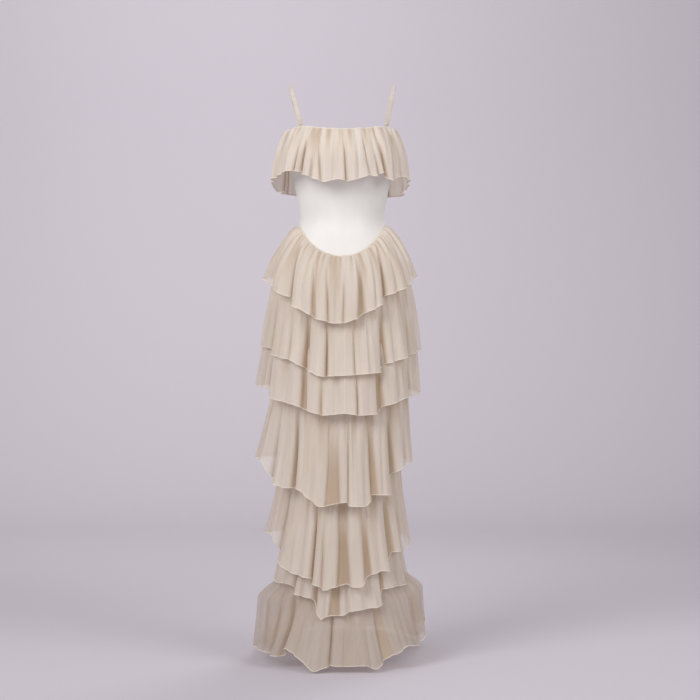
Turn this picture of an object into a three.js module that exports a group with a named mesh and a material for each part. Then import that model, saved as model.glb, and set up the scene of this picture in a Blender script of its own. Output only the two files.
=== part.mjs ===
// A tiered maxi dress in cream chiffon, worn form: a fitted bodice with a gathered flounce round
// the bust, two narrow shoulder straps, and a slim underskirt that carries seven gathered tiers
// from a dipped waist seam down to a floor-length hem with a short train.
// Millimetres, +Z up, front towards -Y. Heights in the tables are above the floor; the finished
// group is lowered so that its origin lies midway between the tops of the two straps.
import * as THREE from "three";

const SHOULDER_HEIGHT = 1435;
const CHIFFON = 1.2; // wall of the flounce and the tiers
const FITTED_CLOTH = 1.6; // wall of the bodice and the underskirt
const STRAP_WIDTH = 10;
const STRAP_THICKNESS = 2;
const STRAP_STEPS = 20;
const STRAP_TOP_X = 129;
const STRAP_BEND_CENTRE = 1330; // height of the middle of the shoulder's curve
const SEAM_GAP = 0.3; // left between two pieces at a seam
const CHORD_ROOM = 0.63; // keeps the flat facets of a gathered edge off the cloth under it
const WIDEST_FACET = 0.15; // radians round the body
const SEAM_OVERLAP = 4; // how far a gathered edge laps over the piece that it is sewn to
const FRONT_DIP_POWER = 1.85; // roundness of the dipped seams across the front
const BACK_DIP_POWER = 1.2;
const BACK_FLARE_POWER = 3.4; // how closely the train's reach is gathered about the centre back
const FOLD_SHARE = 0.42; // depth of a full fold, as a share of the cloth's stand-off there
const DEEPEST_FOLD = 32;
const FOLD_HALF_WIDTH = 15; // half the width of a fold's opening on the hem
const HALF_TURN = Math.PI;
const QUARTER_TURN = Math.PI / 2;

// The inside of the fitted cloth, as half-ellipses: half its width, and its reach to the front
// and to the back of the centre line.
const FIGURE = [
  { height: 1330, halfWidth: 134, front: 104, back: 90 },
  { height: 1290, halfWidth: 137, front: 118, back: 95 },
  { height: 1250, halfWidth: 134, front: 123, back: 94 },
  { height: 1200, halfWidth: 121, front: 108, back: 88 },
  { height: 1150, halfWidth: 110, front: 93, back: 83 },
  { height: 1095, halfWidth: 104, front: 84, back: 80 },
  { height: 1050, halfWidth: 122, front: 90, back: 92 },
  { height: 1000, halfWidth: 145, front: 99, back: 109 },
  { height: 950, halfWidth: 158, front: 106, back: 121 },
  { height: 910, halfWidth: 162, front: 111, back: 124 },
  { height: 850, halfWidth: 162, front: 114, back: 122 },
  { height: 750, halfWidth: 155, front: 113, back: 116 },
  { height: 600, halfWidth: 141, front: 108, back: 108 },
  { height: 450, halfWidth: 129, front: 103, back: 103 },
  { height: 300, halfWidth: 126, front: 103, back: 103 },
  { height: 0, halfWidth: 126, front: 103, back: 103 },
];

const BODICE_TOP = { front: 1312, side: 1312, back: 1300 };
// Strap names are the wearer's sides; angles are from the centre front.
const STRAPS = [
  { name: "strap_left", hand: 1, angle: 0.93 },
  { name: "strap_right", hand: -1, angle: 0.82 },
];
const STRAP_RISE = { height: 10, spread: 0.4 }; // the top edge lifts under each strap
const WAIST = { front: 1001, side: 1080, back: 1080, dipPower: 2.7 }; // dips to a soft point
const UNDERSKIRT_END = { front: 222, side: 272, back: 272 };

// Each gathered piece: its seam and hem heights, how far its crests stand off at the hem, how
// quickly they get there, where the front folds lie (degrees from the centre front), and the
// number of folds across the back. Left and right are as the dress is seen from the front.
const TIERS = [
  {
    name: "bust_flounce",
    seam: BODICE_TOP,
    hem: { front: 1176, left: 1192, right: 1192, back: 1165 },
    standOff: { front: 50, left: 53, right: 48, back: 50 },
    growth: 1.0,
    frontFolds: [-59, -46, -34, -25, -15, 2, 22, 30, 40, 56],
    backFolds: 9,
  },
  {
    name: "tier_1",
    seam: WAIST,
    hem: { front: 842, left: 960, right: 966, back: 955 },
    standOff: { front: 46, left: 38, right: 28, back: 42 },
    growth: 0.45,
    frontFolds: [-52, -37, -20, -10, 1, 15, 36, 55],
    backFolds: 8,
  },
  {
    name: "tier_2",
    seam: { front: 900, side: 1000, back: 1000 },
    hem: { front: 710, left: 780, right: 780, back: 785 },
    standOff: { front: 50, left: 42, right: 34, back: 46 },
    growth: 1.2,
    frontFolds: [-62, -35, -14, 9, 34, 60],
    backFolds: 8,
  },
  {
    name: "tier_3",
    seam: { front: 780, side: 850, back: 850 },
    hem: { front: 620, left: 684, right: 678, back: 685 },
    standOff: { front: 54, left: 60, right: 46, back: 54 },
    growth: 0.72,
    frontFolds: [-62, -35, -14, 9, 34, 60],
    backFolds: 8,
  },
  {
    name: "tier_4",
    seam: { front: 672, side: 735, back: 735 },
    hem: { front: 401, left: 474, right: 503, back: 498 },
    standOff: { front: 56, left: 82, right: 43, back: 56 },
    growth: 1.0,
    frontFolds: [-60, -44, -33, -20, -11, 0, 8, 24, 34, 46, 64],
    backFolds: 9,
  },
  {
    name: "tier_5",
    seam: { front: 460, side: 560, back: 560 },
    hem: { front: 203, left: 292, right: 302, back: 312 },
    standOff: { front: 56, left: 61, right: 41, back: 56 },
    growth: 1.1,
    frontFolds: [-54, -37, -23, -14, -5, 9, 19, 30, 43, 63],
    backFolds: 9,
  },
  {
    name: "tier_6",
    seam: { front: 300, side: 370, back: 370 },
    hem: { front: 140, left: 194, right: 194, back: 214 },
    standOff: { front: 48, left: 40, right: 38, back: 58 },
    growth: 1.1,
    frontFolds: [-50, -24, -6, 8, 25, 39, 56],
    backFolds: 8,
  },
  {
    name: "tier_7",
    seam: UNDERSKIRT_END,
    hem: { front: 7, left: 37, right: 31, back: 4 },
    standOff: { front: 84, left: 88, right: 82, back: 392 },
    growth: 1.5,
    isTrained: true,
    frontFolds: [-46, -19, -6, 7, 28, 49],
    backFolds: 11,
  },
];
const TIER_RINGS = [0, 0.2, 0.55, 1]; // places of the rings, from seam to hem
// The floor tier springs out below the hem above it at the sides, and runs out into a train.
const TRAIN = {
  rings: [0, 0.27, 0.42, 0.58, 1],
  springFrom: 0.25,
  springTo: 0.55,
  early: 0.22, // share of the opening that comes evenly down the tier
  frontFocus: 6, // how close the spring keeps to the sides
  backFocus: 3,
};
const TRAIN_FALL = 2; // above 1 the back drops first and then runs out along the floor
const TRAIN_RIPPLE = 14; // how far the train's folds lift off the floor
const PANEL_FACETS = 18; // across each fitted panel

// A row's value at a height, eased between the table's rows so that the outline has no corner.
function figureAt(height, column) {
  const last = FIGURE.length - 1;
  if (height >= FIGURE[0].height) return FIGURE[0][column];
  if (height <= FIGURE[last].height) return FIGURE[last][column];
  const i = FIGURE.findIndex((row) => row.height <= height) - 1;
  const slope = (k) => {
    const above = FIGURE[Math.max(k - 1, 0)];
    const below = FIGURE[Math.min(k + 1, last)];
    return (below[column] - above[column]) / (below.height - above.height);
  };
  const [from, to] = [FIGURE[i], FIGURE[i + 1]];
  const span = to.height - from.height;
  const u = (height - from.height) / span;
  return (
    from[column] * (1 + 2 * u) * (1 - u) ** 2 +
    to[column] * u * u * (3 - 2 * u) +
    slope(i) * span * u * (1 - u) ** 2 -
    slope(i + 1) * span * u * u * (1 - u)
  );
}

// A value that changes round the body. The angle is 0 at the centre front and grows towards +X.
function around(angle, sizes, backPower = BACK_DIP_POWER) {
  const { front, side, left, right, back, dipPower = FRONT_DIP_POWER } = sizes;
  const beside = side ?? (Math.sin(angle) < 0 ? left : right);
  const c = Math.cos(angle);
  return c > 0
    ? beside + (front - beside) * c ** dipPower
    : beside + (back - beside) * (-c) ** backPower;
}

// A point at an angle and height, standing off from the figure.
function figurePoint(angle, height, standOff) {
  const reach = figureAt(height, Math.cos(angle) > 0 ? "front" : "back") + standOff;
  const across = figureAt(height, "halfWidth") + standOff;
  return new THREE.Vector3(Math.sin(angle) * across, -Math.cos(angle) * reach, height);
}

function bodiceTop(angle) {
  const strap = STRAPS[Math.sin(angle) < 0 ? 1 : 0];
  const away = (Math.abs(Math.sin(angle)) - Math.sin(strap.angle)) / STRAP_RISE.spread;
  return around(angle, BODICE_TOP) + STRAP_RISE.height * Math.exp(-away * away);
}

// The two faces of cloth about a grid of points on its middle surface. With square sides, the
// first and last columns stay in the plane of the side seams.
function clothFaces(grid, thickness, squareSides) {
  const rows = grid.length;
  const columns = grid[0].length;
  const normalAt = (r, c) => {
    const along = grid[r][Math.min(c + 1, columns - 1)].clone().sub(grid[r][Math.max(c - 1, 0)]);
    const down = grid[Math.min(r + 1, rows - 1)][c].clone().sub(grid[Math.max(r - 1, 0)][c]);
    const normal = down.cross(along);
    if (squareSides && (c === 0 || c === columns - 1)) normal.y = 0;
    return normal.normalize();
  };
  return [0.5, -0.5].map((side) =>
    grid.map((row, r) =>
      row.map((point, c) => point.clone().addScaledVector(normalAt(r, c), side * thickness)),
    ),
  );
}

// A closed wall between an outer and an inner grid of points, each read along its rows from the
// wearer's right to left, top row first.
function clothWall([outerFace, innerFace]) {
  const rows = outerFace.length;
  const columns = outerFace[0].length;
  const positions = [...outerFace.flat(), ...innerFace.flat()].flatMap((p) => [p.x, p.y, p.z]);
  const outer = (r, c) => r * columns + c;
  const inner = (r, c) => rows * columns + r * columns + c;
  const index = [];
  const quad = (a, b, c, d) => index.push(a, b, c, a, c, d);
  for (let r = 0; r < rows - 1; r++) {
    for (let c = 0; c < columns - 1; c++) {
      quad(outer(r, c), outer(r + 1, c), outer(r + 1, c + 1), outer(r, c + 1));
      quad(inner(r, c), inner(r, c + 1), inner(r + 1, c + 1), inner(r + 1, c));
    }
    quad(outer(r, 0), inner(r, 0), inner(r + 1, 0), outer(r + 1, 0));
    const c = columns - 1;
    quad(outer(r, c), outer(r + 1, c), inner(r + 1, c), inner(r, c));
  }
  for (let c = 0; c < columns - 1; c++) {
    quad(outer(0, c), outer(0, c + 1), inner(0, c + 1), inner(0, c));
    const r = rows - 1;
    quad(outer(r, c), inner(r, c), inner(r, c + 1), outer(r, c + 1));
  }
  const geometry = new THREE.BufferGeometry();
  geometry.setAttribute("position", new THREE.Float32BufferAttribute(positions, 3));
  geometry.setIndex(index);
  geometry.computeVertexNormals();
  return geometry;
}

const chiffon = new THREE.MeshStandardMaterial({ color: 0xdccfc2, roughness: 0.85, metalness: 0 });
const whiteJersey = new THREE.MeshStandardMaterial({ color: 0xe8e4df, roughness: 0.7, metalness: 0 });

function namedMesh(name, geometry, material) {
  const mesh = new THREE.Mesh(geometry, material);
  mesh.name = name;
  return mesh;
}

// The angles that a front or back panel spans, short of the side seams by half the seam gap.
function panelSpan(isFront, halfWidth) {
  const margin = SEAM_GAP / 2 / halfWidth;
  return isFront
    ? [-QUARTER_TURN + margin, QUARTER_TURN - margin]
    : [QUARTER_TURN + margin, 3 * QUARTER_TURN - margin];
}

// The folds of a panel: the angle of each and its depth from 0 to 1.
function foldsOf(tier, isFront) {
  if (isFront) {
    return tier.frontFolds.map((degrees, i) => ({
      angle: THREE.MathUtils.degToRad(degrees),
      depth: 0.86 + 0.14 * Math.sin(2.3 * i),
    }));
  }
  const folds = [];
  for (let i = 0; i < tier.backFolds; i++) {
    const place = (i + 0.5 + 0.17 * Math.sin(2.1 * i + tier.backFolds)) / tier.backFolds;
    folds.push({
      angle: QUARTER_TURN + HALF_TURN * place,
      depth: 0.86 + 0.14 * Math.sin(1.7 * i + tier.growth),
    });
  }
  return folds;
}

// The columns of a gathered panel: crests, and the four corners of each fold's trough.
function foldColumns(tier, isFront) {
  const hemHalfWidth = figureAt(tier.hem.left, "halfWidth") + tier.standOff.left;
  const [start, end] = panelSpan(isFront, hemHalfWidth);
  const folds = foldsOf(tier, isFront);
  const columns = [{ angle: start, trough: 0 }];
  folds.forEach((fold, i) => {
    const before = i ? folds[i - 1].angle : start;
    const after = i < folds.length - 1 ? folds[i + 1].angle : end;
    const room = Math.min(fold.angle - before, after - fold.angle);
    const half = Math.min(FOLD_HALF_WIDTH / hemHalfWidth, 0.42 * room);
    addCrestTo(fold.angle - half, columns);
    columns.push({ angle: fold.angle - half / 3, trough: fold.depth });
    columns.push({ angle: fold.angle + half / 3, trough: fold.depth });
    columns.push({ angle: fold.angle + half, trough: 0 });
  });
  addCrestTo(end, columns);
  return columns;
}

// Carries a crest on from the last column to an angle, in facets that aren't too wide.
function addCrestTo(angle, columns) {
  const from = columns[columns.length - 1].angle;
  const facets = Math.ceil((angle - from) / WIDEST_FACET);
  for (let i = 1; i <= facets; i++) {
    columns.push({ angle: from + ((angle - from) * i) / facets, trough: 0 });
  }
}

// How much of its stand-off a tier has reached at a ring.
function opening(tier, angle, ring) {
  const plain = ring ** tier.growth;
  if (!tier.isTrained) return plain;
  const focus = Math.cos(angle) > 0 ? TRAIN.frontFocus : TRAIN.backFocus;
  const sideways = Math.abs(Math.sin(angle)) ** focus;
  const spring = THREE.MathUtils.smoothstep(ring, TRAIN.springFrom, TRAIN.springTo);
  return THREE.MathUtils.lerp(plain, TRAIN.early * ring + (1 - TRAIN.early) * spring, sideways);
}

function tierPoint(tier, angle, trough, ring) {
  const seam = tier.seam === BODICE_TOP ? bodiceTop(angle) : around(angle, tier.seam) + SEAM_OVERLAP;
  const hem = around(angle, tier.hem);
  const onTrain = tier.isTrained ? Math.max(-Math.cos(angle), 0) : 0;
  const fallen = 1 - (1 - ring) ** (1 + (TRAIN_FALL - 1) * onTrain);
  const ripple = TRAIN_RIPPLE * onTrain * ring * (1 - trough);
  const grown = around(angle, tier.standOff, BACK_FLARE_POWER) * opening(tier, angle, ring);
  const foldedIn = Math.min(FOLD_SHARE * grown, DEEPEST_FOLD) * trough;
  const atSeam = FITTED_CLOTH + SEAM_GAP + CHORD_ROOM + CHIFFON / 2;
  return figurePoint(angle, seam + (hem - seam) * fallen + ripple, atSeam + grown - foldedIn);
}

function gatheredPanel(tier, isFront) {
  const columns = foldColumns(tier, isFront);
  const grid = (tier.isTrained ? TRAIN.rings : TIER_RINGS).map((ring) =>
    columns.map(({ angle, trough }) => tierPoint(tier, angle, trough, ring)),
  );
  const name = `${tier.name}_${isFront ? "front" : "back"}`;
  return namedMesh(name, clothWall(clothFaces(grid, CHIFFON, true)), chiffon);
}

// A smooth fitted panel between two edges, from the figure outwards.
function fittedPanel({ name, isFront, topEdge, bottomEdge, down, material }) {
  const [start, end] = panelSpan(isFront, figureAt(WAIST.side, "halfWidth"));
  const faces = [FITTED_CLOTH, 0].map((standOff) =>
    Array.from({ length: down + 1 }, (_, r) =>
      Array.from({ length: PANEL_FACETS + 1 }, (_, c) => {
        const angle = THREE.MathUtils.lerp(start, end, c / PANEL_FACETS);
        const height = THREE.MathUtils.lerp(topEdge(angle), bottomEdge(angle), r / down);
        return figurePoint(angle, height, standOff);
      }),
    ),
  );
  return namedMesh(name, clothWall(faces), material);
}

function bodicePanel(isFront) {
  return fittedPanel({
    name: isFront ? "bodice_front" : "bodice_back",
    isFront,
    topEdge: bodiceTop,
    bottomEdge: (angle) => around(angle, WAIST),
    down: 7,
    material: whiteJersey,
  });
}

function underskirtPanel(isFront) {
  return fittedPanel({
    name: isFront ? "underskirt_front" : "underskirt_back",
    isFront,
    topEdge: (angle) => around(angle, WAIST) - SEAM_GAP,
    bottomEdge: (angle) => around(angle, UNDERSKIRT_END),
    down: 8,
    material: chiffon,
  });
}

// A flat strap that rises from the front edge, bends over the shoulder and drops to the back edge.
function strap({ name, hand, angle }) {
  const [front, back] = [angle, HALF_TURN - angle].map((at) =>
    figurePoint(hand * at, bodiceTop(hand * at) + 2 * SEAM_GAP, FITTED_CLOTH / 2),
  );
  const top = SHOULDER_HEIGHT - STRAP_THICKNESS / 2;
  const onWay = (end, y, height) => {
    const rise = (height - end.z) / (top - end.z);
    return new THREE.Vector3(THREE.MathUtils.lerp(end.x, hand * STRAP_TOP_X, rise), y, height);
  };
  const line = new THREE.CatmullRomCurve3([
    front,
    onWay(front, front.y - 2, 1352),
    onWay(front, -62, 1394),
    onWay(front, -34, 1424),
    new THREE.Vector3(hand * STRAP_TOP_X, 0, top),
    onWay(back, 34, 1426),
    onWay(back, 66, 1392),
    onWay(back, back.y + 2, 1340),
    back,
  ]);
  const leftEdge = [];
  const rightEdge = [];
  for (let i = 0; i <= STRAP_STEPS; i++) {
    const p = line.getPoint(i / STRAP_STEPS);
    const run = line.getTangent(i / STRAP_STEPS);
    const outward = new THREE.Vector3(0.25 * p.x, p.y, p.z - STRAP_BEND_CENTRE);
    const across = run.cross(outward);
    if (i === 0 || i === STRAP_STEPS) across.z = 0; // both ends sit level on the edge
    across.setLength(STRAP_WIDTH / 2);
    leftEdge.push(p.clone().add(across));
    rightEdge.push(p.clone().sub(across));
  }
  const faces = clothFaces([leftEdge, rightEdge], STRAP_THICKNESS, false);
  return namedMesh(name, clothWall(faces), chiffon);
}

const dress = new THREE.Group();
for (const isFront of [true, false]) {
  dress.add(bodicePanel(isFront), underskirtPanel(isFront));
  for (const tier of TIERS) dress.add(gatheredPanel(tier, isFront));
}
dress.add(...STRAPS.map(strap));
dress.position.z = -SHOULDER_HEIGHT;

export default dress;
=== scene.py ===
"""Looks for a tiered chiffon maxi dress, worn form: gathered flounces with rolled hems, a smooth
fitted bodice, an underskirt and two narrow straps, on a pale seamless floor in soft studio light.
Metres, +Z up, front towards -Y. The tables hold millimetres, heights are above the floor, and
degrees run round the body from the centre front, positive towards +X."""

import math

import bpy
import numpy as np
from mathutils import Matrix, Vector


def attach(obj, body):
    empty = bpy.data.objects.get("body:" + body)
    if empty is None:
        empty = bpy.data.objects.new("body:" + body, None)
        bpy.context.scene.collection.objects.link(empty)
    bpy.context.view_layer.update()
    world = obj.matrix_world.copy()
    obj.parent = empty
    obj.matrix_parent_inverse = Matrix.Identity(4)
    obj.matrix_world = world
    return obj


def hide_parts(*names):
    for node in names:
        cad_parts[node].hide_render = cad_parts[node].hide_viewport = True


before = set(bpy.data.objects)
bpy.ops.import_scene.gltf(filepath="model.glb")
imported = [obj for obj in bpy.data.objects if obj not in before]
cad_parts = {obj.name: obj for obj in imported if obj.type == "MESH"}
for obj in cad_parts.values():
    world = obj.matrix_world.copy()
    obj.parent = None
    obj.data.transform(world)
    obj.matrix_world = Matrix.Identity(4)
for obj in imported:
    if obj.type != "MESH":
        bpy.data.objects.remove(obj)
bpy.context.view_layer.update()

MM = 0.001
SHOULDER_HEIGHT = 1435  # from the floor to the tops of the straps, where the frame's origin is
FLOOR = -SHOULDER_HEIGHT * MM
FITTED_CLOTH = 1.6  # how far the bodice and the underskirt stand off the figure outside
FITTED_INNER = 0.2  # and inside
SEAM_GAP = 0.3  # left between the bodice and the underskirt
BUST_SEAM_LIFT = 1.5  # how far the flounce's gathered edge stands above the bodice
SEAM_LAP = 4  # a gathered edge laps over the piece that it is sewn to
FRONT_DIP_POWER = 1.85  # roundness of the dipped seams across the front
BACK_DIP_POWER = 1.2
BACK_FLARE_POWER = 3.4  # how closely the train's reach is gathered about the centre back
RING_COLUMNS = 960
RING_ROWS = 50
TUBE_COLUMNS = 240
ROLL_SIDES = 6
FITTED_ROWS = 40
HEM_SOFTNESS = 3  # over how many columns the hem's steps are softened
HEM_RADIUS = 1.1
SEAM_RADIUS = 0.9

# The inside of the fitted cloth: height, half the width, reach to the front and to the back.
FIGURE_COLUMNS = ("height", "half_width", "front", "back")
FIGURE = [
    (1330, 134, 104, 90),
    (1290, 137, 118, 95),
    (1250, 134, 123, 94),
    (1200, 121, 108, 88),
    (1150, 110, 93, 83),
    (1095, 104, 84, 80),
    (1050, 122, 90, 92),
    (1000, 145, 99, 109),
    (950, 158, 106, 121),
    (910, 162, 111, 124),
    (850, 162, 114, 122),
    (750, 155, 113, 116),
    (600, 141, 108, 108),
    (450, 129, 103, 103),
    (300, 126, 103, 103),
    (0, 126, 103, 103),
]

BODICE_TOP = {"front": 1312, "left": 1312, "right": 1312, "back": 1300}
WAIST = {"front": 1001, "left": 1080, "right": 1080, "back": 1080, "dip_power": 2.7}
UNDERSKIRT_END = {"front": 222, "left": 272, "right": 272, "back": 272}
STRAP_ANGLES = {"left": 0.82, "right": 0.93}  # radians from the centre front, as seen from there
STRAP_RISE, STRAP_SPREAD = 10, 0.4  # the top edge lifts under each strap
STRAP_WIDTH, STRAP_THICKNESS = 10, 2
STRAP_TOP_X = 129
STRAP_BEND_CENTRE = 1330  # the height about which the strap bends over the shoulder
STRAP_POINTS = 120
# The strap's way over the shoulder, as y and height.
STRAP_FRONT_WAY, STRAP_BACK_WAY = [(-62, 1394), (-34, 1424)], [(34, 1426), (66, 1392)]
STRAP_FRONT_FOOT, STRAP_BACK_FOOT = 1352, 1340  # heights where it leaves the body
STRAP_FOOT_LEAN = 2
STRAP_LIFT = 0.6  # its ends stand this much above the top edge
STRAP_WAVINESS, STRAP_WAVES = 0.05, 41
STRAP_PINCH, STRAP_PINCH_END = 0.22, 24
KNOT_POINTS = {"front": 5, "back": -6}  # which point of the strap each knot sits on
KNOT_SIDES, KNOT_RINGS = 28, 13
KNOT_WIDTH, KNOT_THICKNESS, KNOT_HEIGHT, KNOT_TILT = 6.2, 2.6, 4.4, 0.8
KNOT_GROOVE, KNOT_STRANDS, KNOT_TWIST = 0.5, 5, 2.5

# Each gathered piece. seam, stand (the crests' stand-off at the hem) and growth (how quickly they
# reach it) follow the solids. hem lists degrees and height all round. folds lists the front's main
# folds as degrees, depth, half the width in degrees and, where a fold runs slantwise, how many
# degrees aside it starts at the seam. A depth below 0 is a ridge. back_folds is how many the back
# has. Where they are given, overlap is the most that a panel rolls over a fold, gathers the number
# of puckers, sheer how see-through the sides look, and trained marks the tier with the train.
TIERS = [
    {
        "name": "bust_flounce",
        "seam": BODICE_TOP,
        "hem": [
            (-180, 1168), (-120, 1171), (-104, 1176), (-88, 1198), (-60, 1206), (-47, 1213),
            (-38, 1208), (-31, 1200), (-26, 1192), (-14, 1181), (-2, 1189), (2, 1180), (8, 1184),
            (20, 1194), (25, 1206), (29, 1195), (39, 1209), (46, 1187), (60, 1204), (88, 1192),
            (104, 1170), (120, 1165),
        ],
        "stand": {"front": 50, "left": 53, "right": 48, "back": 50},
        "growth": 1.0,
        "folds": [
            (-74, 10, 3), (-58, 12, 2.5), (-45, 16, 1.6, 5), (-37, 30, 3.4, 3), (-27, 12, 1.5, 3),
            (-17.5, 16, 1.6, -3), (3, 26, 2.4, -1), (15, 4, 1.6), (25, 26, 1.8, -8),
            (33, 14, 1.6, -5), (41, 28, 2.6, -7), (50, 14, 1.8), (62, 14, 2.2), (74, 10, 3),
        ],
        "back_folds": 12,
        "overlap": 2.6,
        "gathers": 70,
        "sheer": 0.1,
    },
    {
        "name": "tier_1",
        "seam": WAIST,
        "hem": [
            (-180, 955), (-130, 957), (-90, 962), (-57, 930), (-41, 904), (-38, 884), (-28, 872),
            (-18, 851), (-6, 839), (3, 841), (12, 855), (17, 866), (30, 887), (35, 908),
            (54, 932), (90, 968), (130, 960),
        ],
        "stand": {"front": 46, "left": 38, "right": 28, "back": 42},
        "growth": 0.45,
        "folds": [
            (-74, 6, 3), (-58, 9, 2.5), (-39.5, 24, 1.8), (-29, 6, 1.5), (-19.7, 20, 2.2),
            (-10, 16, 2), (-4, 4, 1.2), (1, 14, 1.3), (7, 4, 1.2), (12.9, 26, 3.2), (24, 5, 1.5),
            (33, 30, 2.4), (43, 5, 2), (54, 18, 2), (70, 8, 3),
        ],
        "back_folds": 12,
    },
    {
        "name": "tier_2",
        "seam": {"front": 900, "left": 1000, "right": 1000, "back": 1000},
        "hem": [
            (-180, 785), (-90, 788), (-65, 781), (-60, 765), (-36, 750), (-29, 729), (-22, 722),
            (-15, 711), (9, 715), (29, 721), (34, 741), (49, 755), (76, 773), (90, 778),
        ],
        "stand": {"front": 50, "left": 42, "right": 34, "back": 46},
        "growth": 1.2,
        "folds": [
            (-76, 8, 3), (-62, 18, 2.5), (-50, 4, 2), (-40, 10, 1.8), (-27.7, 32, 3),
            (-19, 3, 1.5), (-11.9, 26, 1.8), (-4, 5, 2), (9.8, 14, 1.4), (21, 8, 2), (32, 32, 3),
            (43, 7, 2.5), (60, 16, 2.5), (76, 8, 3),
        ],
        "back_folds": 11,
    },
    {
        "name": "tier_3",
        "seam": {"front": 780, "left": 850, "right": 850, "back": 850},
        "hem": [
            (-180, 685), (-90, 688), (-66, 684), (-60, 661), (-36, 643), (-31, 633), (-24, 628),
            (-14, 617), (3, 623), (11, 617), (28, 620), (34, 640), (52, 658), (90, 672),
        ],
        "stand": {"front": 54, "left": 60, "right": 46, "back": 54},
        "growth": 0.72,
        "folds": [
            (-76, 8, 3), (-62, 16, 2.5), (-46, 4, 2.5), (-29.5, 26, 3.4), (-15, 14, 2.5),
            (-4, 5, 3), (10.7, 16, 1.6), (20, 4, 2), (31, 30, 3.2), (47, 6, 3), (62, 14, 2.5),
            (76, 8, 3),
        ],
        "back_folds": 11,
    },
    {
        "name": "tier_4",
        "seam": {"front": 672, "left": 735, "right": 735, "back": 735},
        "hem": [
            (-180, 500), (-90, 508), (-67, 507), (-61, 452), (-45, 439), (-40, 443), (-33, 438),
            (-26, 420), (-18, 396), (-12, 399), (4, 409), (7, 398), (20, 397), (24, 424),
            (43, 423), (48, 470), (56, 488), (66, 497), (90, 502),
        ],
        "stand": {"front": 56, "left": 82, "right": 43, "back": 56},
        "growth": 1.0,
        "folds": [
            (-78, 8, 3), (-60, 22, 2.5), (-51, 5, 2), (-39.8, 28, 3), (-29, 6, 2), (-22, 5, 2),
            (-7.7, 18, 7.5), (5.4, 14, 1.5), (14, 4, 2), (26.5, 24, 4), (34, 5, 1.5),
            (46, 30, 4.5), (64, 12, 3), (78, 8, 3),
        ],
        "back_folds": 12,
    },
    {
        "name": "tier_5",
        "seam": {"front": 460, "left": 560, "right": 560, "back": 560},
        "hem": [
            (-180, 312), (-90, 320), (-68, 325), (-61, 263), (-51, 247), (-39, 231), (-26, 223),
            (-22, 210), (-13, 194), (-7, 203), (5, 210), (9, 203), (15, 203), (20, 224),
            (34, 240), (43, 236), (48, 281), (73, 287), (90, 308),
        ],
        "stand": {"front": 56, "left": 61, "right": 41, "back": 56},
        "growth": 1.1,
        "folds": [
            (-78, 8, 3), (-61, 22, 3), (-46, 5, 3), (-35, 4, 2), (-24.5, 30, 2.4),
            (-16.5, 12, 1.8), (0.8, 22, 6), (22, 20, 4.5), (34, 5, 2), (46, 28, 4), (62, 12, 3),
            (78, 8, 3),
        ],
        "back_folds": 12,
    },
    {
        "name": "tier_6",
        "seam": {"front": 300, "left": 370, "right": 370, "back": 370},
        "hem": [
            (-180, 214), (-130, 206), (-90, 198), (-71, 203), (-48, 203), (-43, 181), (-25, 174),
            (-21.5, 141), (-17, 120), (-13, 132), (1, 134), (6, 143), (20, 149), (33, 154),
            (38, 192), (50, 197), (90, 197), (130, 206),
        ],
        "stand": {"front": 48, "left": 40, "right": 38, "back": 58},
        "growth": 1.1,
        "folds": [
            (-72, 8, 3), (-57, 5, 2), (-45, 16, 1.8), (-35, 10, 3), (-23, 22, 1.8),
            (-6, 20, 5.5), (5.5, 10, 2), (20, 5, 3), (37, 24, 3), (56, 10, 3), (74, 8, 3),
        ],
        "back_folds": 10,
    },
    {
        "name": "tier_7",
        "seam": UNDERSKIRT_END,
        "hem": [
            (-180, 4), (-130, 10), (-100, 32), (-90, 36), (-57, 36), (-55, 31), (-46, 31),
            (-42, 55), (-30, 34), (-17, 5), (-9, 20), (4, 17), (16, 20), (23, 9), (28, 20),
            (38, 40), (50, 56), (66, 50), (72, 60), (82, 88), (95, 96), (108, 86), (120, 70),
            (130, 52), (140, 28), (150, 6),
        ],
        "stand": {"front": 84, "left": 88, "right": 82, "back": 392},
        "growth": 1.5,
        "folds": [
            (-84, 5, 3), (-70, 6, 4), (-58, 18, 2, -12), (-46, 32, 2.6, -14), (-30, 8, 6),
            (-17.5, -7, 2.4, 4), (-8.5, 17, 2.6, -3), (6, 9, 6, 2), (23.5, -8, 2.6, 2),
            (33, 18, 5), (49, 4, 6), (68, 12, 3, 4),
        ],
        "back_folds": 13,
        "trained": True,
    },
]
# The floor tier springs out below the hem above it at the sides, and runs out into a train.
SPRING_FROM, SPRING_TO, SPRING_EARLY = 0.17, 0.5, 0.22
SPRING_FRONT_FOCUS, SPRING_BACK_FOCUS = 6, 3
TRAIN_FALL = 2  # how much sooner the train comes down than the front does
TRAIN_RIPPLE = 14  # how high the train stands up between its folds
RIPPLE_FOLD_DEPTH = 18  # where a fold is this deep, the train lies flat
TRAIN_ROLL_LOSS = 0.75  # how much less the train's panels roll over their folds
EDGE_DEGREES = 1.5  # how far round the body the cloth takes to roll over a fold's edge
PLAIN_OVERLAP = 1.5  # the most that a panel rolls over a fold, as a share of the fold's edge
EDGE_STEEPNESS, ROLL_REACH = 0.7, 1.2  # both as shares of the fold's edge
RECESS_SHARE = 0.78  # how much of a fold is a flat recess. The rest is a round hollow
HOLLOW_DEGREES = 4  # how much wider the hollow is than the recess
SEAM_NARROWING = 0.45  # a fold's width at the seam, as a share of its width at the hem
FOLD_GROWS = (-0.05, 0.7)  # from and to, as drops past where the fold starts
FOLD_START, SHALLOW_DELAY = 0.3, 1.3
FOLD_DRIFT = 2  # the most degrees that a fold wanders aside
FULL_DEPTH = 20  # a fold this deep is rolled over in full
BACK_FOLD_SHIFT = 0.25  # how far a back fold lies off its even place, as a share of the gap
NARROW_SHARE = 0.7  # of the back's folds
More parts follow.
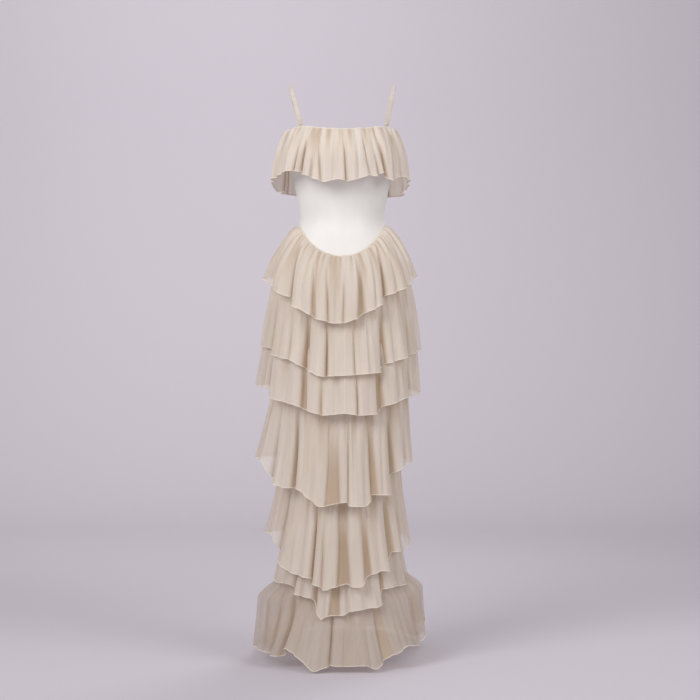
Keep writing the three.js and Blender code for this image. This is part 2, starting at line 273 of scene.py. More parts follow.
NARROW_FOLD, WIDE_FOLD = (1.8, 3.2), (4.5, 7.5)  # half widths in degrees
BACK_FOLD_DEPTH = (10, 28)
FOLD_ROOM = 0.78  # how much of a tier's stand-off a fold may take up
GATHER_COUNT = 96
GATHER_SHIFT = 0.38  # how far a pucker lies off its even place, as a share of the spacing
PUCKER_DEPTH, PUCKER_EXTRA = 1.5, 7
PUCKER_LENGTH, LONG_PUCKER = (0.12, 0.5), 0.5
SHORT_PUCKER_SHARE = 0.75
PUCKER_WIDTH, PUCKER_SPREAD = (0.36, 0.52), 0.8
PUCKER_STARTS, SCALLOP_DROP = 0.012, 0.04
WAVE_TURNS = (11, 17, 26, 37, 53, 71)
WAVE_TWIST, WAVE_SHARE = 2.5, (0.6, 1.1)
WAVE_HEIGHT, WAVE_GROWTH = 30, 0.6
ROW_CROWDING = 1.2  # above 1 the rows lie closer together near the seam
CLOTH_STAND, RUFFLED_STAND, RUFFLE_STARTS = 1.2, 1.8, 0.02
SEAM_SCALLOP = 0.3  # how much of a pucker's depth shows in the gathered edge itself
FOLD_SHADE_FROM, FOLD_SHADE_TO = 4, 16  # how far folded in the cloth starts to get the painted shade, and gets all of it
# painted shade between puckers: how deep a gap between puckers must be to get all of it, and how
# strong it is there
PUCKER_SHADE_TO, PUCKER_SHADE = 2.6, 0.85
FLOOR_SLANT_END = 3  # how early the floor tier's folds stop slanting on their way down
SHEER_FOCUS = 5  # how closely the see-through stretches keep to the sides
SHEER_GROWS, FLOOR_SHEER_GROWS = (0.2, 0.9), (0.0, 0.6)  # from and to, as drops


def figure_at(height, column):
    """The figure's size at each height, eased between the table's rows."""
    heights = np.array([row[0] for row in FIGURE[::-1]], float)
    values = np.array([row[FIGURE_COLUMNS.index(column)] for row in FIGURE[::-1]], float)
    last = len(heights) - 1
    above = np.minimum(np.arange(last + 1) + 1, last)
    below = np.maximum(np.arange(last + 1) - 1, 0)
    slopes = (values[above] - values[below]) / (heights[above] - heights[below])
    h = np.clip(height, heights[0], heights[-1])
    i = np.clip(np.searchsorted(heights, h, side="right") - 1, 0, last - 1)
    span = heights[i + 1] - heights[i]
    u = (h - heights[i]) / span
    return (
        values[i] * (1 + 2 * u) * (1 - u) ** 2
        + values[i + 1] * u * u * (3 - 2 * u)
        + slopes[i] * span * u * (1 - u) ** 2
        - slopes[i + 1] * span * u * u * (1 - u)
    )


def around(angle, sizes, back_power=BACK_DIP_POWER):
    """A size that changes round the body."""
    c = np.cos(angle)
    beside = np.where(np.sin(angle) < 0, sizes["left"], sizes["right"])
    dip_power = sizes.get("dip_power", FRONT_DIP_POWER)
    front = beside + (sizes["front"] - beside) * np.maximum(c, 0) ** dip_power
    back = beside + (sizes["back"] - beside) * np.maximum(-c, 0) ** back_power
    return np.where(c > 0, front, back)


def figure_points(angle, height, stand_off):
    """Points at angles and heights, standing off the figure, in metres."""
    c = np.cos(angle)
    front, back = figure_at(height, "front"), figure_at(height, "back")
    reach = np.where(c > 0, front, back) + stand_off
    across = figure_at(height, "half_width") + stand_off
    level = height - SHOULDER_HEIGHT + 0 * angle
    return np.stack([np.sin(angle) * across, -c * reach, level], axis=-1) * MM


def bodice_top(angle):
    on_left = np.sin(angle) < 0
    joint = np.where(on_left, math.sin(STRAP_ANGLES["left"]), math.sin(STRAP_ANGLES["right"]))
    away = (np.abs(np.sin(angle)) - joint) / STRAP_SPREAD
    return around(angle, BODICE_TOP) + STRAP_RISE * np.exp(-(away**2))


def smoothstep(x, low, high):
    t = np.clip((x - low) / (high - low), 0, 1)
    return t * t * (3 - 2 * t)


def blurred(values, columns):
    """Values round a ring, softened over about that many columns."""
    reach = int(4 * columns)
    steps = np.arange(-reach, reach + 1)
    kernel = np.exp(-0.5 * (steps / columns) ** 2)
    wrapped = np.concatenate([values[-reach:], values, values[:reach]])
    return np.convolve(wrapped, kernel / kernel.sum(), mode="valid")


def ring_difference(angle, places):
    """Signed angles from each place to each angle, the short way round."""
    return (angle[:, None] - places[None, :] + math.pi) % (2 * math.pi) - math.pi


class MainFolds:
    """The deep folds of one tier: recessed panels whose edges the cloth beside them rolls over."""

    def __init__(self, tier, rng):
        rows = list(tier["folds"])
        count = tier["back_folds"]
        first, last = rows[-1][0], rows[0][0] + 360
        gap = (last - first) / (count + 1)
        for i in range(count):
            place = first + gap * (i + 1 + rng.uniform(-BACK_FOLD_SHIFT, BACK_FOLD_SHIFT))
            is_wide = rng.uniform(0, 1) > NARROW_SHARE
            half_width = rng.uniform(*(WIDE_FOLD if is_wide else NARROW_FOLD))
            rows.append((place, rng.uniform(*BACK_FOLD_DEPTH), half_width))
        self.places = np.radians([row[0] for row in rows])
        self.depths = np.array([row[1] for row in rows], float)
        self.widths = np.radians([row[2] for row in rows])
        slants = np.array([row[3] if len(row) > 3 else 0 for row in rows], float)
        number = len(rows)
        strength = np.minimum(self.depths / FULL_DEPTH, 1)
        self.edges = np.minimum(self.widths, math.radians(EDGE_DEGREES))
        overlap = tier.get("overlap", PLAIN_OVERLAP)
        self.left_pulls = strength * rng.uniform(0, overlap, number)
        self.right_pulls = strength * rng.uniform(0, overlap, number)
        self.drifts = np.radians(rng.uniform(-FOLD_DRIFT, FOLD_DRIFT, number) + slants)
        self.starts = rng.uniform(0, FOLD_START, number) * (SHALLOW_DELAY - strength)
        self.slant_end = FLOOR_SLANT_END if tier.get("trained") else 1

    def at(self, angle, drop):
        """How deep the cloth lies, and how far it has turned aside, at a drop from the seam."""
        slanted = self.drifts * (1 - drop) ** self.slant_end
        apart = ring_difference(angle, self.places + slanted)
        spread = SEAM_NARROWING + (1 - SEAM_NARROWING) * drop
        width, edge = self.widths * spread, self.edges * spread
        grown = smoothstep(drop, self.starts + FOLD_GROWS[0], self.starts + FOLD_GROWS[1])
        steep, reach = EDGE_STEEPNESS * edge, ROLL_REACH * edge
        left, right = (apart + width) / steep, (apart - width) / steep
        recess = 0.5 * (np.tanh(left) - np.tanh(right))
        hollow = np.exp(-((apart / (width + math.radians(HOLLOW_DEGREES))) ** 2))
        shape = RECESS_SHARE * recess + (1 - RECESS_SHARE) * hollow
        depth = (shape * self.depths * grown).sum(axis=1)
        from_left = self.left_pulls * np.exp(-(((apart + width) / reach) ** 2))
        from_right = self.right_pulls * np.exp(-(((apart - width) / reach) ** 2))
        turned = ((from_left - from_right) * edge * grown).sum(axis=1)
        return depth, turned


class Gathers:
    """The fine puckers that run down from a gathered seam and fade at different lengths."""

    def __init__(self, count, rng):
        spacing = 2 * math.pi / count
        self.places = np.arange(count) * spacing
        self.places += rng.uniform(-GATHER_SHIFT, GATHER_SHIFT, count) * spacing
        self.depths = PUCKER_DEPTH + PUCKER_EXTRA * rng.uniform(0, 1, count) ** 2
        self.lengths = rng.uniform(*PUCKER_LENGTH, count)
        self.lengths += LONG_PUCKER * (rng.uniform(0, 1, count) > SHORT_PUCKER_SHARE)
        self.widths = rng.uniform(*PUCKER_WIDTH, count) * spacing

    def at(self, angle, drop, scallop=False):
        """How far the puckers stand out, or with scallop how high they push the gathered edge."""
        apart = ring_difference(angle, self.places)
        if scallop:
            fade = SEAM_SCALLOP * math.exp(-drop / SCALLOP_DROP)
        else:
            started = 1 - math.exp(-drop / PUCKER_STARTS)
            fade = started * np.exp(-((drop / self.lengths) ** 2))
        width = self.widths * (1 + PUCKER_SPREAD * drop)
        total = (np.exp(-((apart / width) ** 2)) * self.depths * fade).sum(axis=1)
        return total - total.mean()


class SoftWaves:
    """Low waves that wander down the cloth between the folds."""

    def __init__(self, rng):
        self.waves = [
            (
                turns,
                rng.uniform(0, 2 * math.pi),
                rng.uniform(-WAVE_TWIST, WAVE_TWIST),
                rng.uniform(*WAVE_SHARE),
            )
            for turns in WAVE_TURNS
        ]

    def at(self, angle, drop):
        return sum(
            share * WAVE_HEIGHT / turns * np.sin(turns * angle + start + twist * drop)
            for turns, start, twist, share in self.waves
        )


def tier_opening(tier, angle, drop):
    """How much of its stand-off a tier has reached at a drop from 0, the seam, to 1, the hem."""
    plain = drop ** tier["growth"]
    if not tier.get("trained"):
        return plain + 0 * angle
    focus = np.where(np.cos(angle) > 0, SPRING_FRONT_FOCUS, SPRING_BACK_FOCUS)
    sideways = np.abs(np.sin(angle)) ** focus
    spring = SPRING_EARLY * drop + (1 - SPRING_EARLY) * smoothstep(drop, SPRING_FROM, SPRING_TO)
    return plain + (spring - plain) * sideways


def tier_hem(tier, angle):
    degrees = [a for a, _ in tier["hem"]]
    heights = [h for _, h in tier["hem"]]
    return blurred(np.interp(np.degrees(angle), degrees, heights, period=360), HEM_SOFTNESS)


def tier_grid(tier, rng):
    """The tier's cloth as rows of points from its seam to its hem, and two values for each point:
    folded_in for how much painted shade it gets where it lies deep in a fold or between puckers,
    and single_layer for how see-through it looks, which follows the angle round the dress."""
    main = MainFolds(tier, rng)
    gathers = Gathers(tier.get("gathers", GATHER_COUNT), rng)
    waves = SoftWaves(rng)
    angle = np.linspace(-math.pi, math.pi, RING_COLUMNS, endpoint=False)
    is_bust = tier["seam"] is BODICE_TOP
    seam = bodice_top(angle) + BUST_SEAM_LIFT if is_bust else around(angle, tier["seam"]) + SEAM_LAP
    hem = tier_hem(tier, angle)
    stand = around(angle, tier["stand"], BACK_FLARE_POWER)
    on_train = np.maximum(-np.cos(angle), 0) if tier.get("trained") else 0 * angle
    beside = tier.get("sheer", 1) * np.abs(np.sin(angle)) ** SHEER_FOCUS
    sheer_grows = FLOOR_SHEER_GROWS if tier.get("trained") else SHEER_GROWS
    rows, painted_shade, single = [], [], []
    for drop in np.linspace(0, 1, RING_ROWS) ** ROW_CROWDING:
        grown = stand * tier_opening(tier, angle, drop)
        depth, turned = main.at(angle, drop)
        room = FOLD_ROOM * grown + 1
        folded_in = room * (1 - np.exp(-depth / np.maximum(room, 1)))
        turned = turned * (1 - TRAIN_ROLL_LOSS * on_train)
        ruffled = RUFFLED_STAND * (1 - math.exp(-drop / RUFFLE_STARTS))
        off = FITTED_CLOTH + CLOTH_STAND + grown - folded_in + ruffled
        puckers = gathers.at(angle, drop)
        off = off + puckers + waves.at(angle, drop) * drop**WAVE_GROWTH
        fallen = 1 - (1 - drop) ** (1 + (TRAIN_FALL - 1) * on_train)
        height = seam + (hem - seam) * fallen + gathers.at(angle, drop, scallop=True)
        between_folds = np.maximum(1 - depth / RIPPLE_FOLD_DEPTH, 0)
        height = height + TRAIN_RIPPLE * on_train * drop * between_folds
        rows.append(figure_points(angle + turned, height, off))
        # painted shade: the cloth is darkened where it lies deep in a fold or in the gap between
        # puckers, where shade falls
        fold_shade_mask = smoothstep(folded_in, FOLD_SHADE_FROM, FOLD_SHADE_TO)
        pucker_shade_mask = smoothstep(-puckers, 0, PUCKER_SHADE_TO)
        painted_shade.append(np.maximum(fold_shade_mask, PUCKER_SHADE * pucker_shade_mask))
        single.append(beside * smoothstep(np.array(drop), *sheer_grows))
    return np.array(rows), {"folded_in": np.array(painted_shade), "single_layer": np.array(single)}


def add_mesh(name, points, faces, uvs=None):
    """A smooth mesh of quads, with its cloth coordinates for each corner."""
    faces = np.asarray(faces, np.int32)
    mesh = bpy.data.meshes.new(name)
    mesh.vertices.add(len(points))
    mesh.vertices.foreach_set("co", np.asarray(points, np.float32).ravel())
    mesh.loops.add(faces.size)
    mesh.loops.foreach_set("vertex_index", faces.ravel())
    mesh.polygons.add(len(faces))
    starts = np.arange(0, faces.size, faces.shape[1], dtype=np.int32)
    mesh.polygons.foreach_set("loop_start", starts)
    mesh.polygons.foreach_set("use_smooth", np.full(len(faces), True))
    if uvs is not None:
        layer = mesh.uv_layers.new(name="cloth")
        layer.data.foreach_set("uv", np.asarray(uvs, np.float32).ravel())
    mesh.update()
    mesh.validate()
    piece = bpy.data.objects.new(name, mesh)
    bpy.context.scene.collection.objects.link(piece)
    return piece


def grid_piece(name, points, close_rows=False, close_columns=True):
    """A sheet through rows of points, which may run round in either direction."""
    rows, columns = points.shape[:2]
    down = np.arange(rows if close_rows else rows - 1)
    along = np.arange(columns if close_columns else columns - 1)
    r, c = np.meshgrid(down, along, indexing="ij")
    below, right = (r + 1) % rows, (c + 1) % columns
    corners = [(r, c), (below, c), (below, right), (r, right)]
    faces = np.stack([rr * columns + cc for rr, cc in corners], axis=-1).reshape(-1, 4)
    middle = points[rows // 2]
    across = np.linalg.norm(np.roll(middle, -1, axis=0) - middle, axis=1)
    u = np.concatenate([[0], np.cumsum(across)])
    drops = np.linalg.norm(np.roll(points, -1, axis=0) - points, axis=2).mean(axis=1)
    v = np.concatenate([[0], np.cumsum(drops)])
    places = [(r, c), (r + 1, c), (r + 1, c + 1), (r, c + 1)]
    uvs = np.stack([np.stack([u[cc], v[rr]], axis=-1) for rr, cc in places], axis=2)
    return add_mesh(name, points.reshape(-1, 3), faces, uvs.reshape(-1, 2))


def rolled_edge(name, line, radius, closed=True):
    """A thin roll of cloth along a line of points."""
    if closed:
        run = np.roll(line, -1, axis=0) - np.roll(line, 1, axis=0)
    else:
        run = np.gradient(line, axis=0)
    run = run / np.maximum(np.linalg.norm(run, axis=1, keepdims=True), 1e-9)
    guide = np.array([0.0, 0.0, 1.0]) if closed else np.array([1.0, 0.0, 0.0])
    side = np.cross(run, guide)
    side = side / np.maximum(np.linalg.norm(side, axis=1, keepdims=True), 1e-9)
    lift = np.cross(side, run)
    turns = [2 * math.pi * k / ROLL_SIDES for k in range(ROLL_SIDES)]
    rings = [line + radius * MM * (side * math.cos(t) + lift * math.sin(t)) for t in turns]
    return grid_piece(name, np.array(rings), close_rows=True, close_columns=closed)


def node_tree(name):
    material = bpy.data.materials.new(name)
    material.use_nodes = True
    tree = material.node_tree
    tree.nodes.clear()
    return material, tree


def link(tree, source, socket, target, name):
    tree.links.new(source.outputs[socket], target.inputs[name])


def cloth_noise(tree, stretch, detail):
    """Noise over the cloth coordinates, with its scale along and down the cloth."""
    where = tree.nodes.new("ShaderNodeUVMap")
    where.uv_map = "cloth"
    scaled = tree.nodes.new("ShaderNodeMapping")
    scaled.inputs["Scale"].default_value = (*stretch, 1)
    noise = tree.nodes.new("ShaderNodeTexNoise")
    noise.inputs["Scale"].default_value = 1
    noise.inputs["Detail"].default_value = detail
    link(tree, where, "UV", scaled, "Vector")
    link(tree, scaled, "Vector", noise, "Vector")
    return noise


def two_tone(tree, noise, low, high, dark, light):
    ramp = tree.nodes.new("ShaderNodeValToRGB")
    ramp.color_ramp.elements[0].position = low
    ramp.color_ramp.elements[0].color = (*dark, 1)
    ramp.color_ramp.elements[1].position = high
    ramp.color_ramp.elements[1].color = (*light, 1)
    link(tree, noise, "Fac", ramp, "Fac")
    return ramp


def bump(tree, noise, strength, distance, before=None):
    node = tree.nodes.new("ShaderNodeBump")
    node.inputs["Strength"].default_value = strength
    node.inputs["Distance"].default_value = distance
    link(tree, noise, "Fac", node, "Height")
    if before is not None:
        link(tree, before, "Normal", node, "Normal")
    return node


def cloth_value(tree, name):
    """A value that the cloth's points carry."""
    node = tree.nodes.new("ShaderNodeAttribute")
    node.attribute_name = name
    return node


def paint_fold_shade(tree, tone, colour):
    """The tone, blended into a painted shade where the cloth lies in a fold or between puckers."""
    blend = tree.nodes.new("ShaderNodeMixRGB")
    blend.inputs["Color2"].default_value = (*colour, 1)
    link(tree, cloth_value(tree, "folded_in"), "Fac", blend, "Fac")
    link(tree, tone, "Color", blend, "Color1")
    return blend


CHIFFON_LIGHT, CHIFFON_DARK = (0.87, 0.79, 0.71), (0.83, 0.74, 0.65)
# painted shade: the floor tier's chiffon is a darker copy of the same cloth, for the dimmer light
# near the floor and the shaded inside seen through it
FLOOR_TIER_SHADED_LIGHT, FLOOR_TIER_SHADED_DARK = (0.69, 0.60, 0.52), (0.64, 0.545, 0.46)
HEM_LIGHT, HEM_DARK = (0.88, 0.80, 0.70), (0.84, 0.755, 0.65)
STRAP_LIGHT, STRAP_DARK = (0.68, 0.61, 0.54), (0.63, 0.55, 0.47)
CHIFFON_PAINTED_SHADE = (0.63, 0.50, 0.37)  # painted shade: a darker tan painted where the cloth lies deep in a fold or between puckers
JERSEY_LIGHT, JERSEY_DARK = (0.79, 0.765, 0.74), (0.75, 0.725, 0.70)
PAPER = (0.645, 0.60, 0.652)
WORLD_COLOUR, WORLD_STRENGTH = (0.95, 0.94, 0.96), 0.43
# Noise as its scales along and down the cloth and its detail, and bumps as strength and distance.
STREAK_NOISE, CRINKLE_NOISE, WEAVE_NOISE = ((38, 6), 5), ((170, 9), 3), ((700, 90), 2)
CRINKLE_BUMP, WEAVE_BUMP = (0.55, 0.0022), (0.4, 0.0007)
JERSEY_NOISE, RIB_NOISE, RIB_BUMP = ((18, 12), 4), ((1100, 320), 1), (0.35, 0.0005)
STREAK_FROM, STREAK_TO = 0.36, 0.64
JERSEY_FROM, JERSEY_TO = 0.3, 0.7
SINGLE_LAYER_CLEAR = 0.4  # how much clearer the cloth looks at the dress's left and right


def chiffon_material(name, through, clear, light=CHIFFON_LIGHT, dark=CHIFFON_DARK):
    """Sheer crinkled chiffon. through is the share that glows through, clear what is open."""
    material, tree = node_tree(name)
    out = tree.nodes.new("ShaderNodeOutputMaterial")
    face = tree.nodes.new("ShaderNodeBsdfPrincipled")
    face.inputs["Roughness"].default_value = 0.82
    face.inputs["Specular IOR Level"].default_value = 0.22
    face.inputs["Sheen Weight"].default_value = 0.16
    face.inputs["Sheen Roughness"].default_value = 0.45
    noise = cloth_noise(tree, *STREAK_NOISE)
    streaks = two_tone(tree, noise, STREAK_FROM, STREAK_TO, dark, light)
    # painted shade in the folds and between the puckers
    tone = paint_fold_shade(tree, streaks, CHIFFON_PAINTED_SHADE)
    link(tree, tone, "Color", face, "Base Color")
    crinkle = bump(tree, cloth_noise(tree, *CRINKLE_NOISE), *CRINKLE_BUMP)
    weave = bump(tree, cloth_noise(tree, *WEAVE_NOISE), *WEAVE_BUMP, crinkle)
    link(tree, weave, "Normal", face, "Normal")
    glow = tree.nodes.new("ShaderNodeBsdfTranslucent")
    link(tree, tone, "Color", glow, "Color")
    link(tree, weave, "Normal", glow, "Normal")
    cloth = tree.nodes.new("ShaderNodeMixShader")
    cloth.inputs[0].default_value = through
    tree.links.new(face.outputs[0], cloth.inputs[1])
    tree.links.new(glow.outputs[0], cloth.inputs[2])
    hole = tree.nodes.new("ShaderNodeBsdfTransparent")
    clearness = tree.nodes.new("ShaderNodeMath")
    clearness.operation = "MULTIPLY_ADD"
    clearness.inputs[1].default_value = SINGLE_LAYER_CLEAR
    clearness.inputs[2].default_value = clear
    tree.links.new(cloth_value(tree, "single_layer").outputs["Fac"], clearness.inputs[0])
    mixed = tree.nodes.new("ShaderNodeMixShader")
    tree.links.new(clearness.outputs[0], mixed.inputs[0])
    tree.links.new(cloth.outputs[0], mixed.inputs[1])
    tree.links.new(hole.outputs[0], mixed.inputs[2])
    tree.links.new(mixed.outputs[0], out.inputs["Surface"])
    return material


def jersey_material():
    """Smooth, fine stretch knit in soft white."""
    material, tree = node_tree("white_jersey")
    out = tree.nodes.new("ShaderNodeOutputMaterial")
    face = tree.nodes.new("ShaderNodeBsdfPrincipled")
    face.inputs["Roughness"].default_value = 0.62
    face.inputs["Specular IOR Level"].default_value = 0.3
    face.inputs["Sheen Weight"].default_value = 0.1
    noise = cloth_noise(tree, *JERSEY_NOISE)
    tone = two_tone(tree, noise, JERSEY_FROM, JERSEY_TO, JERSEY_DARK, JERSEY_LIGHT)
    link(tree, tone, "Color", face, "Base Color")
    ribs = bump(tree, cloth_noise(tree, *RIB_NOISE), *RIB_BUMP)
    link(tree, ribs, "Normal", face, "Normal")
    tree.links.new(face.outputs[0], out.inputs["Surface"])
    return material


def paper_material(name, colour):
    material, tree = node_tree(name)
    out = tree.nodes.new("ShaderNodeOutputMaterial")
    face = tree.nodes.new("ShaderNodeBsdfPrincipled")
    face.inputs["Base Color"].default_value = (*colour, 1)
    face.inputs["Roughness"].default_value = 0.9
    face.inputs["Specular IOR Level"].default_value = 0.1
    tree.links.new(face.outputs[0], out.inputs["Surface"])
    return material


chiffon = chiffon_material("chiffon", through=0.32, clear=0.12)
# the floor tier's chiffon, painted darker as shade
shaded_floor_chiffon = chiffon_material(
    "chiffon_single_shaded", through=0.32, clear=0.16, light=FLOOR_TIER_SHADED_LIGHT, dark=FLOOR_TIER_SHADED_DARK
)
hem_cloth = chiffon_material(
    "chiffon_hem", through=0.1, clear=0.0, light=HEM_LIGHT, dark=HEM_DARK
)
strap_cloth = chiffon_material(
    "chiffon_strap", through=0.1, clear=0.0, light=STRAP_LIGHT, dark=STRAP_DARK
)
jersey = jersey_material()


def dress_piece(piece, material, slot, *nodes):
    piece.data.materials.append(material)
    if nodes:
        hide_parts(*nodes)
    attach(piece, "root")
    return piece


CENTRE_SEAM_DEGREES = 2
CENTRE_SEAM_TIERS = ("tier_2", "tier_3")
CENTRE_SEAM_START = 2  # the row of the grid where it starts
CENTRE_SEAM_RADIUS = SEAM_RADIUS * 0.7


def make_tier(tier, seed):
    name = tier["name"]
    points, cloth_values = tier_grid(tier, np.random.default_rng(seed))
    nodes = [f"{name}_front", f"{name}_back"]
    cloth_look = shaded_floor_chiffon if tier.get("trained") else chiffon
    cloth = dress_piece(grid_piece(f"{name}_cloth", points), cloth_look, "chiffon", *nodes)
    for value_name, values in cloth_values.items():
        layer = cloth.data.attributes.new(value_name, "FLOAT", "POINT")
        layer.data.foreach_set("value", values.ravel().astype(np.float32))
    trims = [rolled_edge(f"{name}_hem", points[-1], HEM_RADIUS)]
    if name in ("bust_flounce", "tier_1"):
        trims.append(rolled_edge(f"{name}_seam", points[0], SEAM_RADIUS))
    if name in CENTRE_SEAM_TIERS:
        column = RING_COLUMNS // 2 + round(CENTRE_SEAM_DEGREES / 360 * RING_COLUMNS)
        line = points[CENTRE_SEAM_START:, column]
        trims.append(rolled_edge(f"{name}_join", line, CENTRE_SEAM_RADIUS, closed=False))
    for trim in trims:
        dress_piece(trim, hem_cloth, "chiffon")


def fitted_tube(name, top, bottom, material, slot, rows, *nodes):
    """A smooth closed tube between two edges, with the wall that its solids have."""
    angle = np.linspace(-math.pi, math.pi, TUBE_COLUMNS, endpoint=False)
    top_edge, bottom_edge = top(angle), bottom(angle)
    drops = np.linspace(0, 1, rows)
    outer, inner = (
        [figure_points(angle, top_edge + (bottom_edge - top_edge) * d, stand) for d in drops]
        for stand in (FITTED_CLOTH, FITTED_INNER)
    )
    shell = np.array(outer + inner[::-1])
    piece = grid_piece(name, shell, close_rows=True)
    return dress_piece(piece, material, slot, *nodes)


def make_bodice():
    nodes = ("bodice_front", "bodice_back")
    bottom = lambda angle: around(angle, WAIST)
    piece = fitted_tube("bodice", bodice_top, bottom, jersey, "jersey", FITTED_ROWS, *nodes)


def make_underskirt():
    nodes = ("underskirt_front", "underskirt_back")
    top = lambda angle: around(angle, WAIST) - SEAM_GAP
    bottom = lambda angle: around(angle, UNDERSKIRT_END)
    piece = fitted_tube("underskirt", top, bottom, chiffon, "chiffon", FITTED_ROWS, *nodes)


def eased_line(knots, count):
    """Points along a smooth line through the knots."""
    knots = np.array(knots, float)
    ends = np.concatenate([2 * knots[:1] - knots[1:2], knots, 2 * knots[-1:] - knots[-2:-1]])
    points = []
    for t in np.linspace(0, len(knots) - 1, count):
        i = min(int(t), len(knots) - 2)
        u = t - i
        a, b, c, d = ends[i : i + 4]
        points.append(
            0.5
            * (2 * b + (c - a) * u + (2 * a - 5 * b + 4 * c - d) * u**2)
            + 0.5 * (3 * b - a - 3 * c + d) * u**3
        )
    return np.array(points)


def strap_line(hand, angle, count):
    """The middle of a strap, from the front edge over the shoulder to the back, in mm."""
    ends = []
    for at in (hand * angle, hand * (math.pi - angle)):
        height = float(bodice_top(np.array(at)))
        height += STRAP_LIFT
        x, y, _ = figure_points(np.array(at), np.array(height), FITTED_CLOTH / 2) / MM
        ends.append(np.array([x, y, height]))
    front, back = ends
    top = SHOULDER_HEIGHT - STRAP_THICKNESS / 2

    def on_way(end, y, height):
        rise = (height - end[2]) / (top - end[2])
        return [end[0] + (hand * STRAP_TOP_X - end[0]) * rise, y, height]

    knots = [
        front,
        on_way(front, front[1] - STRAP_FOOT_LEAN, STRAP_FRONT_FOOT),
        *[on_way(front, y, height) for y, height in STRAP_FRONT_WAY],
        [hand * STRAP_TOP_X, 0, top],
        *[on_way(back, y, height) for y, height in STRAP_BACK_WAY],
        on_way(back, back[1] + STRAP_FOOT_LEAN, STRAP_BACK_FOOT),
        back,
    ]
    return eased_line(knots, count)


STRAP_SECTION = [
    (-1.0, 0.35), (-0.93, 0.9), (-0.8, 1.0), (-0.72, 0.78), (-0.5, 0.95), (0.0, 1.0),
    (0.5, 0.95), (0.72, 0.78), (0.8, 1.0), (0.93, 0.9), (1.0, 0.35), (1.0, -0.35),
    (0.9, -0.9), (0.0, -1.0), (-0.9, -0.9), (-1.0, -0.35),
]  # across and out, as shares of half the width and half the thickness: two lines of stitching


def make_strap(name, hand, angle):
    """A narrow double strap, topstitched along both edges, tied down with a small knot."""
    line = strap_line(hand, angle, STRAP_POINTS)
    run = np.gradient(line, axis=0)
    outward = np.stack(
        [0.25 * line[:, 0], line[:, 1], line[:, 2] - STRAP_BEND_CENTRE], axis=1
    )
    across = np.cross(run, outward)
    across /= np.linalg.norm(across, axis=1, keepdims=True)
    out = np.cross(across, run)
    out /= np.linalg.norm(out, axis=1, keepdims=True)
    along = np.linspace(0, 1, len(line))
    pinch = STRAP_PINCH * np.exp(-((along * STRAP_PINCH_END) ** 2))
    wavy = 1 - STRAP_WAVINESS * np.sin(along * STRAP_WAVES) - pinch
    sections = []
    for a, b in STRAP_SECTION:
        sideways = across * (a * STRAP_WIDTH / 2 * wavy)[:, None]
        sections.append(line + sideways + out * b * STRAP_THICKNESS / 2)
    points = np.array(sections)
    points[:, :, 2] -= SHOULDER_HEIGHT
    strap = grid_piece(f"{name}_band", points * MM, close_rows=True, close_columns=False)
    dress_piece(strap, strap_cloth, "chiffon", name)
    for end, where in KNOT_POINTS.items():
        make_knot(f"{name}_knot_{end}", line[where], across[where], out[where])


def make_knot(name, centre, across, out):
    """A small wound knot of chiffon at the foot of a strap."""
    up = np.cross(out, across)
    turns = np.linspace(0, 2 * math.pi, KNOT_SIDES, endpoint=False)
    rings = []
    for k in np.linspace(-1, 1, KNOT_RINGS):
        swell = math.sqrt(max(1 - (k * 0.96) ** 2, 0.02))
        ring = []
        for t in turns:
            strands = KNOT_GROOVE * math.sin(KNOT_STRANDS * t + KNOT_TWIST * k)
            ring.append(
                centre
                + across * (KNOT_WIDTH * swell * math.cos(t))
                + out * ((KNOT_THICKNESS + strands) * swell * math.sin(t))
                + up * (KNOT_HEIGHT * k + KNOT_TILT * math.cos(t + 1))
            )
        rings.append(ring)
    points = np.array(rings)
    points[:, :, 2] -= SHOULDER_HEIGHT
    dress_piece(grid_piece(name, points * MM), strap_cloth, "chiffon")


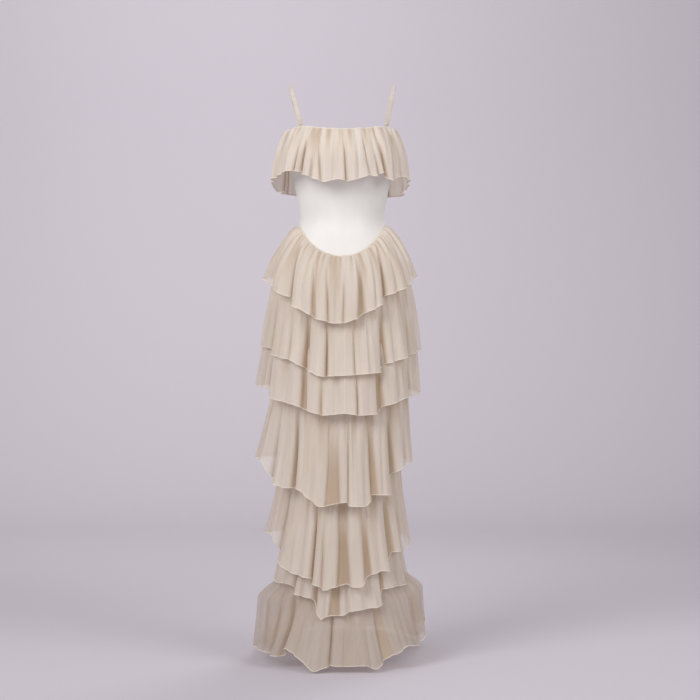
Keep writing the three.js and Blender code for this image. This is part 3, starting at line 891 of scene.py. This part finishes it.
def add_floor():
    """A pale seamless sweep: floor, a wide curve and a wall."""
    near_end, half_width = -7.0, 9.0
    start, bend, wall_top, steps = 3.2, 2.2, 7.0, 18
    profile = [(near_end, 0.0), (start, 0.0)]
    for k in range(1, steps + 1):
        turn = math.pi / 2 * k / steps
        profile.append((start + bend * math.sin(turn), bend * (1 - math.cos(turn))))
    profile.append((start + bend, wall_top))
    sides = [[(x, y, FLOOR + z) for y, z in profile] for x in (half_width, -half_width)]
    sweep = grid_piece("floor_sweep", np.array(sides), close_columns=False)
    sweep.data.materials.append(paper_material("lilac_paper", PAPER))


# Each lamp: name, place and target in metres, size, power in watts and spread in degrees.
LAMPS = [
    ("key", (-2.4, -3.0, 1.6), (0.1, 0.5, 0.6), 2.8, 54, 108),
    ("fill", (2.8, -2.5, 1.1), (0, 0.2, 0.2), 2.6, 29, 120),
    ("wall_wash", (-0.9, 1.6, 2.4), (-0.8, 5.4, 0.5), 2.6, 44, 140),
    ("back_fill", (1.6, 3.0, 1.6), (0, 0.2, 0.1), 2.4, 15, 90),
]


def add_light(name, place, target, size, power, spread):
    data = bpy.data.lights.new(name, "AREA")
    data.shape = "DISK"
    data.size = size
    data.energy = power
    data.spread = math.radians(spread)
    lamp = bpy.data.objects.new(name, data)
    lamp.location = place
    lamp.visible_camera = False
    lamp.rotation_euler = (Vector(target) - Vector(place)).to_track_quat("-Z", "Y").to_euler()
    bpy.context.scene.collection.objects.link(lamp)


def add_camera():
    """A level view from 0.775 m above the floor and 4.3 m in front of the dress."""
    distance, height, focal_pixels, side_offset = 4.3, 0.775, 1720, 0.02
    picture_width, sensor = 700, 36
    data = bpy.data.cameras.new("camera")
    data.sensor_width = sensor
    data.lens = sensor * focal_pixels / picture_width
    camera = bpy.data.objects.new("camera", data)
    camera.location = (side_offset, -distance, FLOOR + height)
    camera.rotation_euler = (math.pi / 2, 0, 0)
    bpy.context.scene.collection.objects.link(camera)
    bpy.context.scene.camera = camera


def add_world():
    world = bpy.data.worlds.new("studio")
    world.use_nodes = True
    background = world.node_tree.nodes["Background"]
    background.inputs["Color"].default_value = (*WORLD_COLOUR, 1)
    background.inputs["Strength"].default_value = WORLD_STRENGTH
    bpy.context.scene.world = world


add_camera()
make_bodice()
make_underskirt()
for number, tier in enumerate(TIERS):
    make_tier(tier, seed=11 + number)
make_strap("strap_left", 1, STRAP_ANGLES["right"])
make_strap("strap_right", -1, STRAP_ANGLES["left"])
add_floor()
add_world()
for lamp in LAMPS:
    add_light(*lamp)
bpy.context.scene.view_settings.view_transform = "Standard"
